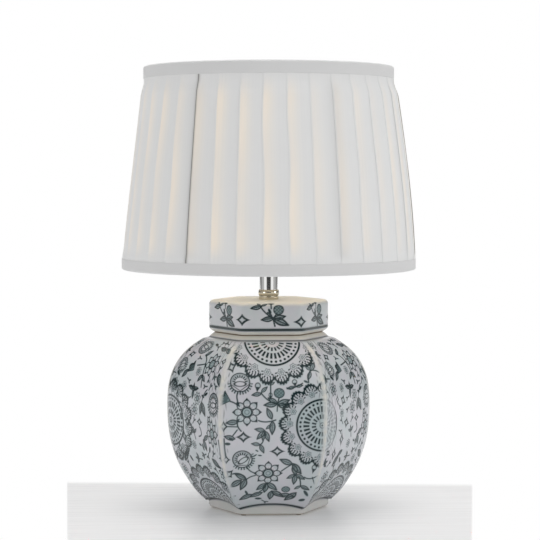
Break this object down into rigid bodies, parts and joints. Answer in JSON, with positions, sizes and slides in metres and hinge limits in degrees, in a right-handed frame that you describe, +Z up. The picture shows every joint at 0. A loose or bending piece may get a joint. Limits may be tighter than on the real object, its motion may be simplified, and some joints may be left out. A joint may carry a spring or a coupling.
{
  "type": "table lamp",
  "caption": "Table lamp with a six-sided lidded porcelain jar base, chrome stem, screw lampholder and a round pleated cloth shade on a wire frame.",
  "frame": {"origin": "on the surface the lamp stands on, under the middle of the jar and shade", "axes": "+Z up, along the stem; one flat side of the jar looks along -Y, the cord inlet is on the +Y side"},
  "size_m": [0.3052, 0.3052, 0.4586],
  "materials": {
    "porcelain": "glazed porcelain, printed in dark teal",
    "felt": "pressed felt",
    "rubber": "matt black rubber",
    "brass": "bright brass",
    "steel": "zinc plated steel",
    "chrome": "polished chrome plate",
    "holder_plastic": "white thermoplastic",
    "ceramic": "glazed white ceramic",
    "bulb_glass": "soft white bulb glass",
    "clear_glass": "clear glass",
    "cap_metal": "nickel plated cap",
    "insulator": "black glass insulator",
    "frame_wire": "white coated wire",
    "lining_cloth": "plain white lining",
    "pleated_cloth": "white knife-pleated cloth",
    "trim_tape": "folded white bias tape"
  },
  "bodies": {
    "base": {"jar_body": "porcelain", "jar_foot": "porcelain", "jar_floor": "porcelain", "jar_lid": "porcelain", "foot_pads": "felt", "cord_grommet": "rubber", "threaded_rod": "brass", "base_gasket": "rubber", "clamp_plate": "steel", "lock_washer": "steel", "base_nut": "brass", "neck_base_ring": "chrome", "neck_collar": "chrome", "stem_tube": "chrome", "stem_cap": "chrome", "lampholder_skirt": "holder_plastic", "lampholder_shell": "holder_plastic", "lampholder_insert": "ceramic", "screw_shell": "brass", "centre_contact": "brass", "side_contact": "brass", "terminal_screws": "steel"},
    "shade_ring": {"shade_ring": "holder_plastic"},
    "bulb_lift": {"bulb_tip": "cap_metal"},
    "bulb": {"bulb_glass": "bulb_glass", "bulb_cap": "cap_metal", "bulb_insulator": "insulator", "bulb_stem": "clear_glass", "bulb_filament": "steel"},
    "shade": {"shade_fitter": "frame_wire", "shade_bottom_ring": "frame_wire", "shade_top_ring": "frame_wire", "shade_struts": "frame_wire", "shade_lining": "lining_cloth", "shade_panel_1": "pleated_cloth", "shade_panel_2": "pleated_cloth", "shade_panel_3": "pleated_cloth", "shade_panel_4": "pleated_cloth", "shade_panel_5": "pleated_cloth", "shade_panel_6": "pleated_cloth", "shade_bottom_trim": "trim_tape", "shade_top_trim": "trim_tape"}
  },
  "joints": [
    {"name": "shade_turn", "type": "hinge", "parent": "base", "child": "shade", "pos_m": [0, 0, 0.29055], "axis": [0, 0, 1], "continuous": true},
    {"name": "shade_ring_turn", "type": "hinge", "parent": "base", "child": "shade_ring", "pos_m": [0, 0, 0.2952], "axis": [0, 0, 1], "range_deg": [0, 720]},
    {"name": "bulb_lift", "type": "slide", "parent": "base", "child": "bulb_lift", "axis": [0, 0, 1], "range_m": [0, 0.01452]},
    {"name": "bulb_turn", "type": "hinge", "parent": "bulb_lift", "child": "bulb", "pos_m": [0, 0, 0.31], "axis": [0, 0, 1], "range_deg": [0, 1440]}
  ],
  "couplings": [
    {"joint": "bulb_lift", "follows": "bulb_turn", "m_per_rad": 0.00057757}
  ]
}
